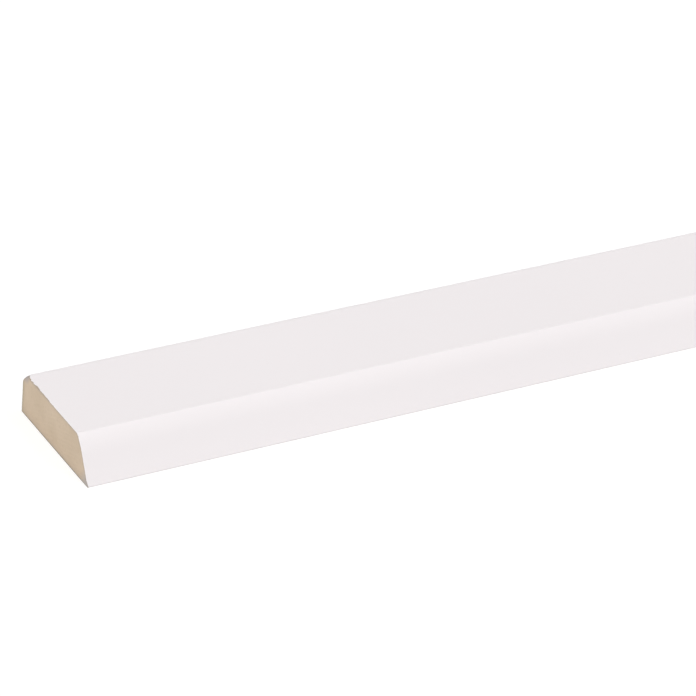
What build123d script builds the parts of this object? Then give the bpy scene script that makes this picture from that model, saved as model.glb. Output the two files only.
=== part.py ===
from build123d import *
from math import cos, radians, sin, tan
import os

# White MDF cover strip: one solid length of moulding that lies over a joint and hides it.
# It lies on its flat back. X runs along the strip, Y across it, Z up through its thickness.
# The origin is at the middle of the back face. The bevelled front edge is towards -Y and the
# square rear edge towards +Y.

# Driving sizes, in millimetres
strip_length = 2400.0
strip_width = 26.0
strip_thickness = 8.0
rear_edge_radius = 2.0  # rounds the square edge over into the face
nose_radius = 13.0  # long shallow rounding between the bevel and the face
shoulder_radius = 0.4  # eases the crisp line where the nose meets the face

# Driving angles, in degrees
bevel_lean = 28.0  # how far the bevel leans back from upright
shoulder_dip = 45.0  # how steeply the nose falls away from the face at the shoulder


def front_corners():
    """The corners of the front edge: foot, top of the bevel and shoulder.

    They are (across, up) points. The nose is an arc that leaves the bevel at a tangent and
    turns until it falls away from the face by the shoulder's dip, so its height and depth
    follow from its radius and those two angles. The bevel takes up the rest of the thickness.
    """
    lean = radians(bevel_lean)
    turn = radians(90.0 - shoulder_dip)
    nose_height = nose_radius * (sin(turn) - sin(lean))
    nose_depth = nose_radius * (cos(lean) - cos(turn))
    bevel_height = strip_thickness - nose_height
    foot = Vector(-strip_width / 2, 0)
    bevel_top = foot + Vector(bevel_height * tan(lean), bevel_height)
    shoulder = bevel_top + Vector(nose_depth, nose_height)
    return foot, bevel_top, shoulder


def section():
    """The strip's cross-section, drawn on the plane across its length."""
    foot, bevel_top, shoulder = front_corners()
    heel = Vector(strip_width / 2, 0)
    rear_top = Vector(strip_width / 2, strip_thickness)
    with BuildSketch(Plane.YZ) as sketch:
        with BuildLine():
            Line(foot, heel)
            Line(heel, rear_top)
            Line(rear_top, shoulder)
            TangentArc(bevel_top, shoulder, tangent=bevel_top - foot)
            Line(bevel_top, foot)
        make_face()
        top_corners = sketch.vertices().group_by(Axis.Y)[-1].sort_by(Axis.X)
        fillet(top_corners.first, shoulder_radius)
        fillet(sketch.vertices().sort_by_distance(rear_top).first, rear_edge_radius)
    return sketch.sketch


def cover_strip():
    """The section run along the strip's length, sawn square at both ends."""
    return extrude(section(), strip_length / 2, both=True)


os.makedirs("parts", exist_ok=True)
export_step(cover_strip(), "parts/cover_strip.step")
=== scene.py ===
import math
import random

import bmesh
import bpy
import numpy as np
from mathutils import Matrix, Vector, geometry, noise


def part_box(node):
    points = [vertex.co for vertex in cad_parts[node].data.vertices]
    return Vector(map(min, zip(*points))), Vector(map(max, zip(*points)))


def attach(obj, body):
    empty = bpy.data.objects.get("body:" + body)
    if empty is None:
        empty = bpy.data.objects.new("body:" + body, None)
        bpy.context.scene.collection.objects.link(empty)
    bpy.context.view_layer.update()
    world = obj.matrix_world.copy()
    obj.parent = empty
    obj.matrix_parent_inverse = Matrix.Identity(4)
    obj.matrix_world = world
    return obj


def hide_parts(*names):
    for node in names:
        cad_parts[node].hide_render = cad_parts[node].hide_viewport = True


# A white-finished MDF cover strip, lying on its back. The strip is lofted from its section, with a
# thin coat that shows as a rim round each sawn end, and bare MDF on the ends and the back.

MM = 0.001

# The section. Its length, width and thickness come from the frame.
BEVEL_LEAN = math.radians(28.0)
SHOULDER_DIP = math.radians(45.0)
NOSE_RADIUS = 13.0 * MM
REAR_RADIUS = 2.0 * MM
SHOULDER_RADIUS = 0.4 * MM
CORNER_RADIUS = 0.12 * MM  # the lightly sanded foot and heel
LEAST_RADIUS = 0.03 * MM  # what a small radius keeps where the outline moves in
NOSE_STEPS = 16
SHOULDER_STEPS = 6
REAR_STEPS = 20
CORNER_STEPS = 5
RUN_STEP = 0.15 * MM  # about how far apart the outline's points are
SHARP_ANGLE = math.radians(25.0)  # an edge that turns more than this stays crisp

# The sawn ends, where the coat rolls over a little before it is cut through
EASE_LENGTH = 0.22 * MM
EASE_DROP = 0.03 * MM
EASE_STEPS = 4
COAT_THICKNESS = 0.03 * MM
PLAIN_FROM = 0.7 * MM  # from here on no chip reaches
CHIP_DEPTH = 0.1 * MM
CHIP_FROM = 0.3  # the coat is chipped where the noise is stronger than this
CHIP_GROWTH = 2.0
CHIP_SCALE = 420.0  # like every scale of noise here, in cells to a metre
FINE_CHIP_SCALE = 2200.0
CHIP_SLICE = 9.0  # the two ends take slices of the noise as far to each side of its middle
FINE_CHIP_SLICE = 4.0
LARGE_CHIPS = (  # where each is across the strip, half its length, and its depth
    (11.4 * MM, 1.0 * MM, 0.48 * MM),
    (10.3 * MM, 0.5 * MM, 0.2 * MM),
    (9.2 * MM, 0.4 * MM, 0.14 * MM),
    (7.4 * MM, 1.2 * MM, 0.24 * MM),
    (4.6 * MM, 2.6 * MM, 0.09 * MM),
)
LARGE_CHIP_EVEN = 0.8  # the share of a large chip's depth that is even, and the rough share
LARGE_CHIP_ROUGH = 0.5
BARE_CHIP = 0.03 * MM  # a chip deeper than this shows the MDF
FOOT_TEAR = 0.2 * MM  # the coat is torn back at the foot of the left end
FOOT_TEAR_REACH = 1.8 * MM
FOOT_TEAR_ABOVE = 0.03 * MM  # lower than this is the back face, which isn't torn
KNOCK_REACH = 1.6 * MM  # the rear top corner of the left end is knocked back a little
KNOCK_LENGTH = 1.2 * MM
KNOCK_STEPS = 3
KNOCK_IN = 0.22 * MM
KNOCK_DOWN = 0.19 * MM
KNOCK_INSET = 0.3 * REAR_RADIUS  # how far inside the rear edge and the face its middle lies
KNOCK_FROM = Vector((0.5, 0.866))  # the direction the blow came from, across and up
SAWN_GRID = 0.2 * MM  # the spacing of the points inside a sawn end
SAWN_JITTER = 0.25  # how far a point may stray, as a share of the spacing
SAWN_MARGIN = 0.6  # how far the points keep from the edge, as a share of the spacing
ROW_SHIFT = 0.5  # every other row is moved on by this share of the spacing
MERGE_DISTANCE = 1e-9
INSIDE_ONLY = 1  # has the triangulation keep only what lies inside the rim
SAWN_DEPTH = 0.05 * MM
TORN_EVEN = 0.45  # the shares of that depth that are even, from fibres and from pits
TORN_BY_FIBRES = 0.35
TORN_BY_PITS = 0.2
TORN_FIBRE_SCALE = (900.0, 2600.0)  # across and up
TORN_PIT_SCALE = (2100.0, 2900.0)
TORN_FIBRE_SLICE = 1.0
TORN_PIT_SLICE = 5.0
FACE_SOFTNESS = 0.35  # the MDF at its faces, where 1 is as soft as in its middle
SOFTNESS_RISE = 2.2
SAWN_SEED = 7
SAW_CENTRE = (0.0, -0.045, -0.115)  # where the saw's spindle was as it left its marks
SAW_MARK_PITCH = 0.8 * MM

# Each end of the strip by the way from it into the strip
LEFT, RIGHT = 1, -1

# The material slots of the strip's mesh, and the name of its measure of how far a point of a sawn
# end lies from the edge
COATED, SAWN, BACK = 0, 1, 2
FROM_EDGE = "from_edge"

# The camera looks at the strip's left end, rolled as in the photograph.
CAMERA_FROM_LEFT_END = Vector((-241.18, -472.94, 341.0)) * MM
CAMERA_AZIMUTH = math.radians(32.187)
CAMERA_DROP = math.radians(30.837)
CAMERA_ROLL = math.radians(5.483)
CAMERA_SENSOR = 36.0
CAMERA_LENS = 192.33

# The lights. The sky's level and the upward share of each lamp add up to 1 on the strip's face, so
# that a colour shows there as it is written.
SKY_LEVEL = 0.427
KEY_LIGHT = Vector((-0.36, -0.196, 0.5))  # its direction, as long as its level
KEY_SPREAD = math.radians(50.0)
SHEEN_LIGHT = Vector((0.045, -0.052, 0.073))  # glances off the nose
SHEEN_SPREAD = math.radians(30.0)
FLOOR_SIZE = 40.0
FLOOR_WHITE = 0.8
FLOOR_LIFT = 0.26  # how much the floor glows where it is seen

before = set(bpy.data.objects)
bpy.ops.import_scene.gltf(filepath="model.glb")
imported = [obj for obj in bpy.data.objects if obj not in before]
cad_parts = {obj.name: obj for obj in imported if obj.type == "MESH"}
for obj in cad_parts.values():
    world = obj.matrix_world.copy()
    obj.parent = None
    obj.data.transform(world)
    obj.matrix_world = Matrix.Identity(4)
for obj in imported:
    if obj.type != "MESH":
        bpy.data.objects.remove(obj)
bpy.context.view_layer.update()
low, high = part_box("cover_strip")
width = high.y - low.y
thickness = high.z - low.z


def srgb(red, green, blue):
    """A colour as it shows on screen, from 0 to 255, turned into the linear one of a shader."""
    def linear(part):
        part /= 255.0
        return part / 12.92 if part <= 0.04045 else ((part + 0.055) / 1.055) ** 2.4
    return linear(red), linear(green), linear(blue), 1.0


# The coat. A range gives where a noise starts and ends, and what it is turned into there.
COAT_DARK = srgb(237.1, 232.0, 233.2)
COAT_LIGHT = srgb(238.7, 233.6, 234.8)
SPECK_COLOUR = srgb(230, 224, 222)
PEEL_SCALE = 1100.0
PEEL_HEIGHT = 0.006 * MM
PEEL_ROUGHNESS = (0.2, 0.8, 0.36, 0.42)
DRAWN_SCALE = (6.0, 1800.0, 1800.0)
DRAWN_HEIGHT = 0.004 * MM
DRAWN_ROUGHNESS = (0.2, 0.8, 0.0, 0.06)
TINT_SCALE = 14.0
SPECK_SCALE = 2600.0
SPECK_RANGE = (0.76, 0.82, 0.0, 0.6)
CLOUD_RANGE = (0.3, 0.7)

# Bare MDF. The colours are its light, its dark and its fibres'. Each set of fibres has its scale
# along the three axes and its turn about Z.
SAWN_COLOURS = (srgb(205, 186, 163), srgb(197, 178, 154), srgb(174, 153, 129))
SAWN_FIBRES = (((900.0, 900.0, 4200.0), 0.0), ((2600.0, 2600.0, 6500.0), 0.0))
BACK_COLOURS = (srgb(212, 191, 165), srgb(200, 177, 149), srgb(176, 150, 121))
BACK_FIBRES = tuple(((900.0, 5200.0, 900.0), turn) for turn in (0.0, 1.1, 2.1))
MDF_CLOUD_SCALE = 240.0
MDF_ROUGH_NOISE = 0.6
FIBRE_RANGE = (0.58, 0.78, 0.0, 0.55)
FIBRE_HEIGHT = 0.03 * MM
FIBRE_ROUGHNESS = (0.3, 0.7, 0.78, 0.92)
SAW_MARK_HEIGHT = 0.01 * MM
SANDING_SCALE = (30.0, 3500.0, 3500.0)
SANDING_HEIGHT = 0.012 * MM

# What lies over the MDF of a sawn end. It is darker along its edges and towards the back face,
# where that darkening and the dark line along the foot are partly the MDF's denser skin and partly
# painted shadow where the end meets the floor. It has a dark line along the rear edge and greyer
# patches round two corners. Each layer is full up to its first depth and is gone at its second.
# The darker colour of the MDF's skin, which towards the back face also paints the floor contact's
# shadow
SKIN_AND_SHADOW_COLOUR = srgb(170, 157, 142)
EDGE_LAYERS = (  # measured from the edge: the two depths, the share and the colour
    (0.0, 0.55 * MM, 0.55, SKIN_AND_SHADOW_COLOUR),
    (0.0, 0.2 * MM, 0.4, srgb(140, 126, 111)),
)
# Towards the back face the darkening and the dark line along the foot are partly painted shadow of
# the floor contact.
BACK_LAYERS_WITH_PAINTED_SHADOW = (  # the same, measured from the back face
    (0.0, 5.5 * MM, 0.11, srgb(178, 150, 126)),
    (0.0, 1.6 * MM, 0.34, SKIN_AND_SHADOW_COLOUR),
    (0.1 * MM, 0.2 * MM, 1.0, srgb(90, 78, 68)),
)
REAR_LAYERS = (  # the same, measured from the rear edge
    (0.45 * MM, 0.9 * MM, 0.32, srgb(150, 142, 114)),
)
# Greyer, darker patches round the rear top corner and the foot of each sawn end
GREY_CORNER_PATCHES = (  # each one's corner, and then the same
    ((0.0, high.y - 0.7 * MM, thickness), 0.8 * MM, 2.0 * MM, 0.9, srgb(169, 160, 158)),
    ((0.0, low.y, 0.0), 1.3 * MM, 3.4 * MM, 0.8, srgb(171, 165, 162)),
)


# The section, as (y, z) points

def arc(centre, radius, start, end, steps):
    """Points from one angle to another round a centre, with both ends."""
    angles = (start + (end - start) * i / steps for i in range(steps + 1))
    return [centre + radius * Vector((math.cos(a), math.sin(a))) for a in angles]


def rounded(corner, before, after, radius, steps):
    """The arc that rounds a corner of the outline, between the points before and after it."""
    back = (before - corner).normalized()
    on = (after - corner).normalized()
    half = back.angle(on) / 2
    centre = corner + (back + on).normalized() * radius / math.sin(half)
    reach = radius / math.tan(half)
    first = corner + back * reach - centre
    last = corner + on * reach - centre
    start = math.atan2(first.y, first.x)
    turn = math.atan2(first.cross(last), first.dot(last))
    return arc(centre, radius, start, start + turn, steps)


def outline(inset, lift):
    """The section with its finished sides moved in by inset and its back face up by lift.

    It starts at the foot and goes up the bevel, over the nose and the face, and down the rear
    edge. It has the same number of points for every inset, so two outlines join point by point.
    """
    slope = Vector((math.sin(BEVEL_LEAN), math.cos(BEVEL_LEAN)))
    dip = math.pi / 2 - SHOULDER_DIP
    bevel_height = thickness - NOSE_RADIUS * (math.sin(dip) - math.sin(BEVEL_LEAN))
    bevel_top = Vector((low.y, 0.0)) + slope * bevel_height / slope.y
    nose_centre = bevel_top + NOSE_RADIUS * Vector((slope.y, -slope.x))
    nose_radius = NOSE_RADIUS - inset
    shoulder_radius = max(SHOULDER_RADIUS - inset, LEAST_RADIUS)
    shoulder_z = thickness - inset - shoulder_radius
    rise = shoulder_z - nose_centre.y
    run = math.sqrt((nose_radius - shoulder_radius) ** 2 - rise ** 2)
    shoulder_centre = Vector((nose_centre.x - run, shoulder_z))
    meeting = math.atan2(rise, -run)
    nose = arc(nose_centre, nose_radius, math.pi - BEVEL_LEAN, meeting, NOSE_STEPS)
    shoulder = arc(shoulder_centre, shoulder_radius, meeting, math.pi / 2, SHOULDER_STEPS)
    foot = Vector((low.y + inset / slope.y + lift * slope.x / slope.y, lift))
    heel = Vector((high.y - inset, lift))
    rear_top = Vector((high.y - inset, thickness - inset))
    corner_radius = max(CORNER_RADIUS - inset, LEAST_RADIUS)
    return (
        rounded(foot, heel, nose[0], corner_radius, CORNER_STEPS)
        + nose
        + shoulder[1:]
        + rounded(rear_top, shoulder[-1], heel, REAR_RADIUS - inset, REAR_STEPS)
        + rounded(heel, rear_top, foot, corner_radius, CORNER_STEPS)
    )


def next_points(points):
    """Each point of a closed outline with the one after it."""
    return list(zip(points, points[1:] + points[:1]))


def cut(points, pieces):
    """The closed outline with each of its runs cut into that many pieces."""
    return [
        here.lerp(there, i / count)
        for (here, there), count in zip(next_points(points), pieces)
        for i in range(count)
    ]


def depth_inside(points, shape):
    """How far each point lies inside the edge of a convex clockwise shape."""
    edges = np.roll(shape, -1, 0) - shape
    edges /= np.linalg.norm(edges, axis=1, keepdims=True)
    away = points[:, None] - shape[None]
    depth = edges[None, :, 1] * away[..., 0] - edges[None, :, 0] * away[..., 1]
    return depth.min(1)


# The strip's mesh

def knock(point, from_end, end):
    """How far a point near an end is knocked back, as a share of the most there is."""
    if end == RIGHT or from_end >= KNOCK_LENGTH:
        return 0.0
    away = (point - Vector((high.y - KNOCK_INSET, thickness - KNOCK_INSET))).length
    if away >= KNOCK_REACH:
        return 0.0
    return 0.5 * (1 + math.cos(math.pi * away / KNOCK_REACH)) * (1 - from_end / KNOCK_LENGTH)


def ring(bm, points, end, from_end):
    """A closed row of vertices across the strip, each its own way from an end."""
    end_x = low.x if end == LEFT else high.x
    verts = []
    for point, inwards in zip(points, from_end):
        share = knock(point, inwards, end)
        moved = point - KNOCK_FROM * KNOCK_DOWN * share
        verts.append(bm.verts.new((end_x + end * (inwards + KNOCK_IN * share), moved.x, moved.y)))
    return verts


def skin(bm, first, second, slots):
    """Faces between two rings, each in its own material slot."""
    for (a, b), (d, c), slot in zip(next_points(first), next_points(second), slots):
        face = bm.faces.new((a, b, c, d))
        face.material_index = slot
        face.smooth = True


def ease(step):
    """How far from the cut, and how far in, the rolled coat is at one step of its quarter turn."""
    turn = math.pi / 2 * step / EASE_STEPS
    return EASE_LENGTH * (1 - math.sin(turn)), EASE_DROP * (1 - math.cos(turn))


def foot_tear(point, end):
    """How far the coat is torn back at a point near the foot of the left end."""
    if end == RIGHT or point.y < FOOT_TEAR_ABOVE:
        return 0.0
    away = (point - Vector((low.y, 0.0))).length
    return FOOT_TEAR * max(0.0, 1 - away / FOOT_TEAR_REACH) ** 2


def chip(point, end):
    """How far the saw chipped the coat back at a point of an end's edge, mostly not at all."""
    torn = foot_tear(point, end)
    if point.y < CORNER_RADIUS:
        return torn
    coarse_place = (point.x * CHIP_SCALE, point.y * CHIP_SCALE, CHIP_SLICE * end)
    fine_place = (point.x * FINE_CHIP_SCALE, point.y * FINE_CHIP_SCALE, FINE_CHIP_SLICE * end)
    coarse = noise.noise(Vector(coarse_place))
    fine = noise.noise(Vector(fine_place))
    small = CHIP_DEPTH * (CHIP_GROWTH * (coarse - CHIP_FROM) + max(0.0, fine - CHIP_FROM))
    depth = max(torn, small)
    if end == LEFT and point.y > thickness / 2:
        for middle, reach, deepest in LARGE_CHIPS:
            across = abs(point.x - middle) / reach
            roughness = LARGE_CHIP_EVEN + LARGE_CHIP_ROUGH * fine
            depth = max(depth, deepest * (1 - across ** 2) * roughness)
    return depth


def torn_depth(y, z):
    """How deep the saw tore the MDF at a point of a sawn end, more in its soft middle."""
    from_faces = min(z, thickness - z) / thickness
    softness = min(1.0, FACE_SOFTNESS + SOFTNESS_RISE * from_faces)
    across, up = TORN_FIBRE_SCALE
    fibres = noise.noise(Vector((y * across, z * up, TORN_FIBRE_SLICE)))
    across, up = TORN_PIT_SCALE
    pits = noise.noise(Vector((y * across, z * up, TORN_PIT_SLICE)))
    torn = TORN_EVEN + TORN_BY_FIBRES * fibres + TORN_BY_PITS * pits
    return SAWN_DEPTH * softness * torn


def sawn_face(bm, rim, end):
    """Fills the bare MDF inside a rim with fine triangles, their points slightly torn in."""
    rng = random.Random(SAWN_SEED)
    shape = np.array([(v.co.y, v.co.z) for v in rim])
    lattice = np.array([
        (
            low.y + (i + ROW_SHIFT * (j % 2) + rng.uniform(-SAWN_JITTER, SAWN_JITTER)) * SAWN_GRID,
            (j + rng.uniform(-SAWN_JITTER, SAWN_JITTER)) * SAWN_GRID,
        )
        for i in range(round(width / SAWN_GRID) + 1)
        for j in range(round(thickness / SAWN_GRID) + 1)
    ])
    kept = lattice[depth_inside(lattice, shape) >= SAWN_MARGIN * SAWN_GRID]
    points = [Vector(p) for p in np.vstack([shape, kept])]
    hull = list(range(len(rim)))
    filled = geometry.delaunay_2d_cdt(points, [], [hull], INSIDE_ONLY, MERGE_DISTANCE)
    corners, _, triangles = filled[:3]
    inner = np.array(corners[len(rim):])
    from_edge = bm.verts.layers.float[FROM_EDGE]
    verts = list(rim)
    for point, depth in zip(inner, depth_inside(inner, shape)):
        y, z = point
        knocked = KNOCK_IN * knock(Vector(point), 0.0, end)
        x = low.x if end == LEFT else high.x
        vert = bm.verts.new((x + end * (knocked + torn_depth(y, z)), y, z))
        vert[from_edge] = depth
        verts.append(vert)
    for triangle in triangles:
        face = bm.faces.new([verts[i] for i in triangle])
        face.material_index = SAWN
        face.smooth = True


def strip_end(bm, full, pieces, slots, end):
    """The strip's surface near one end, with the sawn face. Gives the ring where it starts."""
    core_drop = EASE_DROP + COAT_THICKNESS
    chips = [chip(point, end) for point in full]
    start = ring(bm, full, end, [KNOCK_LENGTH] * len(full))
    outer = start
    for step in range(1, KNOCK_STEPS):
        from_end = KNOCK_LENGTH + (PLAIN_FROM - KNOCK_LENGTH) * step / (KNOCK_STEPS - 1)
        inner = ring(bm, full, end, [from_end] * len(full))
        skin(bm, outer, inner, slots)
        outer = inner
    for step in range(EASE_STEPS + 1):
        from_end, drop = ease(step)
        here = cut(outline(drop, drop), pieces)
        inner = ring(bm, here, end, [max(from_end, depth) for depth in chips])
        skin(bm, outer, inner, slots)
        outer = inner
    core = ring(bm, cut(outline(core_drop, core_drop), pieces), end, [0.0] * len(full))
    skin(bm, outer, core, [
        SAWN if slot == BACK or depth > BARE_CHIP else COATED for slot, depth in zip(slots, chips)
    ])
    sawn_face(bm, core, end)
    return start


def strip_mesh():
    """The whole strip as one closed mesh, in the three material slots."""
    bm = bmesh.new()
    bm.verts.layers.float.new(FROM_EDGE)
    plain = outline(0.0, 0.0)
    lengths = [(there - here).length for here, there in next_points(plain)]
    pieces = [max(1, round(length / RUN_STEP)) for length in lengths]
    full = cut(plain, pieces)
    tops = [max(here.y, there.y) for here, there in next_points(full)]
    slots = [BACK if top < CORNER_RADIUS / 2 else COATED for top in tops]
    left, right = (strip_end(bm, full, pieces, slots, end) for end in (LEFT, RIGHT))
    skin(bm, left, right, slots)
    bmesh.ops.recalc_face_normals(bm, faces=bm.faces)
    mesh = bpy.data.meshes.new("cover_strip")
    bm.to_mesh(mesh)
    bm.free()
    mesh.set_sharp_from_angle(angle=SHARP_ANGLE)
    return mesh


# Materials

class Shading:
    """One material's node tree, with short ways to add and join its nodes."""

    def __init__(self, name):
        self.material = bpy.data.materials.new(name)
        self.material.use_nodes = True
        self.tree = self.material.node_tree
        self.shader = self.tree.nodes["Principled BSDF"]
        self.place = self.node("ShaderNodeTexCoord").outputs["Object"]

    def fill(self, socket, value):
        """Joins a socket to another node's output, or sets it to a plain value."""
        if isinstance(value, bpy.types.NodeSocket):
            self.tree.links.new(value, socket)
        else:
            socket.default_value = value

    def node(self, kind, inputs=None, **settings):
        made = self.tree.nodes.new(kind)
        for name, value in settings.items():
            setattr(made, name, value)
        for name, value in (inputs or {}).items():
            self.fill(made.inputs[name], value)
        return made

    def stretched(self, scale, turn=0.0):
        """The strip's coordinates, turned about Z and scaled along each axis."""
        turned = {"Vector": self.place, "Rotation": (0.0, 0.0, turn)}
        return self.node(
            "ShaderNodeVectorMath",
            {0: self.node("ShaderNodeMapping", turned).outputs["Vector"], 1: scale},
            operation="MULTIPLY",
        ).outputs["Vector"]

    def noise(self, where, scale=1.0, detail=2.0, roughness=0.5):
        inputs = {"Vector": where, "Scale": scale, "Detail": detail, "Roughness": roughness}
        return self.node("ShaderNodeTexNoise", inputs).outputs["Fac"]

    def ranged(self, value, start, end, to_start=0.0, to_end=1.0):
        """The value with its stretch from start to end moved to another one, and held there."""
        inputs = {"Value": value, "From Min": start, "From Max": end}
        inputs |= {"To Min": to_start, "To Max": to_end}
        return self.node("ShaderNodeMapRange", inputs).outputs["Result"]

    def maths(self, operation, first, second=0.0):
        made = self.node("ShaderNodeMath", {0: first, 1: second}, operation=operation)
        return made.outputs["Value"]

    def mix(self, factor, first, second):
        """Two colours mixed by a factor."""
        made = self.node("ShaderNodeMixRGB", {"Fac": factor, "Color1": first, "Color2": second})
        return made.outputs["Color"]

    def bump(self, height, distance, normal=None):
        """A normal that follows a height from 0 to 1, standing up by the distance."""
        inputs = {"Height": height, "Distance": distance, "Strength": 1.0}
        if normal:
            inputs["Normal"] = normal
        return self.node("ShaderNodeBump", inputs).outputs["Normal"]

    def finish(self, **sockets):
        for name, value in sockets.items():
            self.fill(self.shader.inputs[name.replace("_", " ")], value)
        return self.material


def coat_material():
    """White satin coat: a faint orange peel, drawn lines along the strip and a breath of tint."""
    paint = Shading("white_finish")
    peel = paint.noise(paint.place, PEEL_SCALE, detail=3.0)
    drawn = paint.noise(paint.stretched(DRAWN_SCALE), detail=3.0)
    clouds = paint.noise(paint.place, TINT_SCALE)
    tint = paint.mix(paint.ranged(clouds, *CLOUD_RANGE), COAT_DARK, COAT_LIGHT)
    specks = paint.ranged(paint.noise(paint.place, SPECK_SCALE, detail=1.0), *SPECK_RANGE)
    colour = paint.mix(specks, tint, SPECK_COLOUR)
    peel_rough = paint.ranged(peel, *PEEL_ROUGHNESS)
    rough = paint.maths("ADD", peel_rough, paint.ranged(drawn, *DRAWN_ROUGHNESS))
    normal = paint.bump(peel, PEEL_HEIGHT, paint.bump(drawn, DRAWN_HEIGHT))
    return paint.finish(Base_Color=colour, Roughness=rough, Normal=normal)


def bare_mdf(board, light, dark, fleck, fibres):
    """The colour of bare MDF and its fibres, which lie in a few directions."""
    layers = [
        board.noise(board.stretched(scale, turn), detail=3.0, roughness=MDF_ROUGH_NOISE)
        for scale, turn in fibres
    ]
    weave = layers[0]
    for layer in layers[1:]:
        weave = board.maths("MAXIMUM", weave, layer)
    clouds = board.noise(board.place, MDF_CLOUD_SCALE, 3.0, MDF_ROUGH_NOISE)
    base = board.mix(board.ranged(clouds, *CLOUD_RANGE), light, dark)
    return board.mix(board.ranged(weave, *FIBRE_RANGE), base, fleck), weave


def distance_along_end(board, point):
    """How far each place on a sawn end is from a point, leaving out the strip's length."""
    off = board.node("ShaderNodeVectorMath", {0: board.place, 1: point}, operation="SUBTRACT")
    flat = {0: off.outputs["Vector"], 1: (0.0, 1.0, 1.0)}
    across = board.node("ShaderNodeVectorMath", flat, operation="MULTIPLY").outputs["Vector"]
    return board.node("ShaderNodeVectorMath", {0: across}, operation="LENGTH").outputs["Value"]


def saw_marks(board):
    """Shallow arcs that the saw's teeth left on an end."""
    radius = distance_along_end(board, SAW_CENTRE)
    phase = board.maths("MULTIPLY", radius, 2 * math.pi / SAW_MARK_PITCH)
    return board.bump(board.ranged(board.maths("SINE", phase), -1.0, 1.0), SAW_MARK_HEIGHT)


def sanding_lines(board):
    """Fine scratches along the strip from the sander."""
    return board.bump(board.noise(board.stretched(SANDING_SCALE)), SANDING_HEIGHT)


def sawn_material():
    """Bare MDF of a sawn end, with darker layers, partly painted floor shadow, and grey corners.
    """
    board = Shading("sawn_mdf")
    mdf, weave = bare_mdf(board, *SAWN_COLOURS, SAWN_FIBRES)
    from_edge = board.node("ShaderNodeAttribute", attribute_name=FROM_EDGE).outputs["Fac"]
    place = board.node("ShaderNodeSeparateXYZ", {"Vector": board.place}).outputs
    from_rear = board.maths("SUBTRACT", high.y, place["Y"])
    layers = [(from_edge, *layer) for layer in EDGE_LAYERS]
    layers += [(place["Z"], *layer) for layer in BACK_LAYERS_WITH_PAINTED_SHADOW]
    layers += [(from_rear, *layer) for layer in REAR_LAYERS]
    layers += [(distance_along_end(board, corner), *layer) for corner, *layer in GREY_CORNER_PATCHES]
    colour = mdf
    for distance, full_to, gone_at, share, tone in layers:
        colour = board.mix(board.ranged(distance, full_to, gone_at, share, 0.0), colour, tone)
    normal = board.bump(weave, FIBRE_HEIGHT, saw_marks(board))
    rough = board.ranged(weave, *FIBRE_ROUGHNESS)
    return board.finish(Base_Color=colour, Roughness=rough, Normal=normal)


def back_material():
    """The bare, sanded MDF of the back face."""
    board = Shading("sanded_mdf")
    mdf, weave = bare_mdf(board, *BACK_COLOURS, BACK_FIBRES)
    normal = board.bump(weave, FIBRE_HEIGHT, sanding_lines(board))
    rough = board.ranged(weave, *FIBRE_ROUGHNESS)
    return board.finish(Base_Color=mdf, Roughness=rough, Normal=normal)


# The scene

def strip():
    mesh = strip_mesh()
    for material in (coat_material(), sawn_material(), back_material()):
        mesh.materials.append(material)
    piece = bpy.data.objects.new("cover_strip_finished", mesh)
    bpy.context.scene.collection.objects.link(piece)
    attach(piece, "root")
    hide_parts("cover_strip")


def seen_directly(tree):
    """1 where the camera sees this, itself or in a reflection, and 0 where it lights the rest."""
    path = tree.nodes.new("ShaderNodeLightPath")
    found = path.outputs["Is Camera Ray"]
    for name in ("Is Glossy Ray", "Is Transmission Ray"):
        larger = tree.nodes.new("ShaderNodeMath")
        larger.operation = "MAXIMUM"
        tree.links.new(found, larger.inputs[0])
        tree.links.new(path.outputs[name], larger.inputs[1])
        found = larger.outputs["Value"]
    return found


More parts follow.
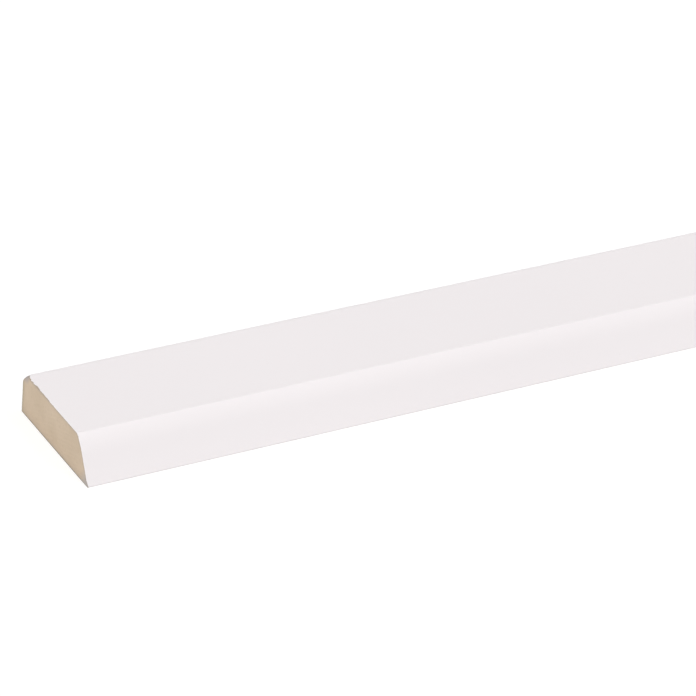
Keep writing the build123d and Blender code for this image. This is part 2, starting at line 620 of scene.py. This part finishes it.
def floor():
    """A white floor that keeps the strip's soft shadow."""
    mesh = bpy.data.meshes.new("floor")
    half = FLOOR_SIZE / 2
    corners = [(-half, -half, 0.0), (half, -half, 0.0), (half, half, 0.0), (-half, half, 0.0)]
    mesh.from_pydata(corners, [], [(0, 1, 2, 3)])
    plane = bpy.data.objects.new("floor", mesh)
    bpy.context.scene.collection.objects.link(plane)
    material = bpy.data.materials.new("floor")
    material.use_nodes = True
    tree = material.node_tree
    shader = tree.nodes["Principled BSDF"]
    shader.inputs["Base Color"].default_value = (FLOOR_WHITE, FLOOR_WHITE, FLOOR_WHITE, 1.0)
    shader.inputs["Roughness"].default_value = 1.0
    shader.inputs["Specular IOR Level"].default_value = 0.0
    shader.inputs["Emission Color"].default_value = (1.0, 1.0, 1.0, 1.0)
    lift = tree.nodes.new("ShaderNodeMath")
    lift.operation = "MULTIPLY"
    lift.inputs[1].default_value = FLOOR_LIFT
    tree.links.new(seen_directly(tree), lift.inputs[0])
    tree.links.new(lift.outputs["Value"], shader.inputs["Emission Strength"])
    mesh.materials.append(material)


def lamp(name, towards, spread):
    """A broad, soft light from the direction of a vector, at the level of its length."""
    light = bpy.data.lights.new(name, "SUN")
    light.energy = math.pi * towards.length
    light.angle = spread
    holder = bpy.data.objects.new(name, light)
    holder.rotation_euler = towards.to_track_quat("Z", "Y").to_euler()
    bpy.context.scene.collection.objects.link(holder)


def studio():
    """A plain white sky, a soft key light from the front left and a faint one from the right."""
    world = bpy.data.worlds.new("studio")
    world.use_nodes = True
    tree = world.node_tree
    strength = tree.nodes.new("ShaderNodeMapRange")
    strength.inputs["To Min"].default_value = SKY_LEVEL
    strength.inputs["To Max"].default_value = 1.0
    tree.links.new(seen_directly(tree), strength.inputs["Value"])
    background = tree.nodes["Background"]
    background.inputs["Color"].default_value = (1.0, 1.0, 1.0, 1.0)
    tree.links.new(strength.outputs["Result"], background.inputs["Strength"])
    bpy.context.scene.world = world
    lamp("key", KEY_LIGHT, KEY_SPREAD)
    lamp("sheen", SHEEN_LIGHT, SHEEN_SPREAD)


def camera():
    view = Vector((
        math.sin(CAMERA_AZIMUTH) * math.cos(CAMERA_DROP),
        math.cos(CAMERA_AZIMUTH) * math.cos(CAMERA_DROP),
        -math.sin(CAMERA_DROP),
    ))
    data = bpy.data.cameras.new("camera")
    data.sensor_width = CAMERA_SENSOR
    data.lens = CAMERA_LENS
    viewer = bpy.data.objects.new("camera", data)
    turned = view.to_track_quat("-Z", "Y").to_matrix() @ Matrix.Rotation(CAMERA_ROLL, 3, "Z")
    viewer.rotation_euler = turned.to_euler()
    viewer.location = Vector((low.x, 0.0, 0.0)) + CAMERA_FROM_LEFT_END
    bpy.context.scene.collection.objects.link(viewer)
    bpy.context.scene.camera = viewer


strip()
floor()
studio()
camera()
bpy.context.scene.view_settings.view_transform = "Standard"
